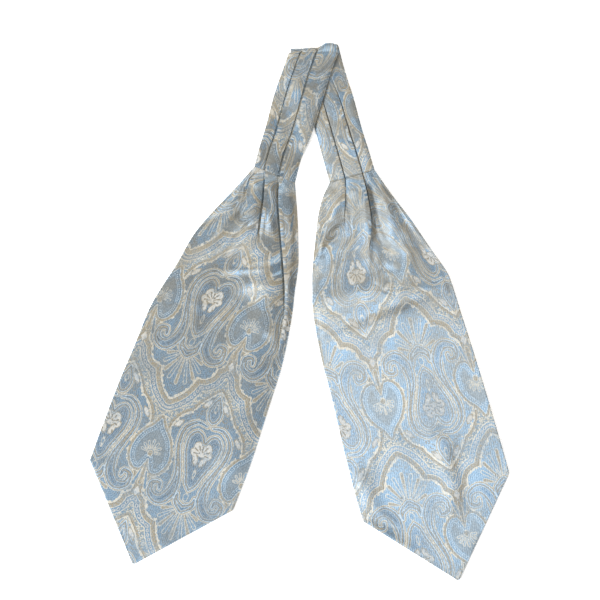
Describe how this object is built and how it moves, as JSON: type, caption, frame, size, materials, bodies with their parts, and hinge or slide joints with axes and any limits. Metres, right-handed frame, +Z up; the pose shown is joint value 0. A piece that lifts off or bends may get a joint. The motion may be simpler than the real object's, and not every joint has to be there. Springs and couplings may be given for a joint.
{
  "type": "silk cravat",
  "caption": "Silk cravat laid flat: a pleated neck band folded over at the centre back, opening into a wide pointed blade at each end.",
  "frame": {"origin": "middle of the outline, on the surface that the cravat lies on", "axes": "+X to the right, +Y from the blades' points towards the folded neck band, +Z up off the surface"},
  "size_m": [0.419, 0.5365, 0.0126],
  "materials": {
    "silk": "satin-faced jacquard silk, blue with fawn and cream paisley"
  },
  "bodies": {
    "root": {"neck_band_over": "silk", "neck_band_under": "silk", "blade_left_upper": "silk", "blade_left_lower": "silk", "blade_right_upper": "silk", "blade_right_lower": "silk"}
  },
  "joints": []
}
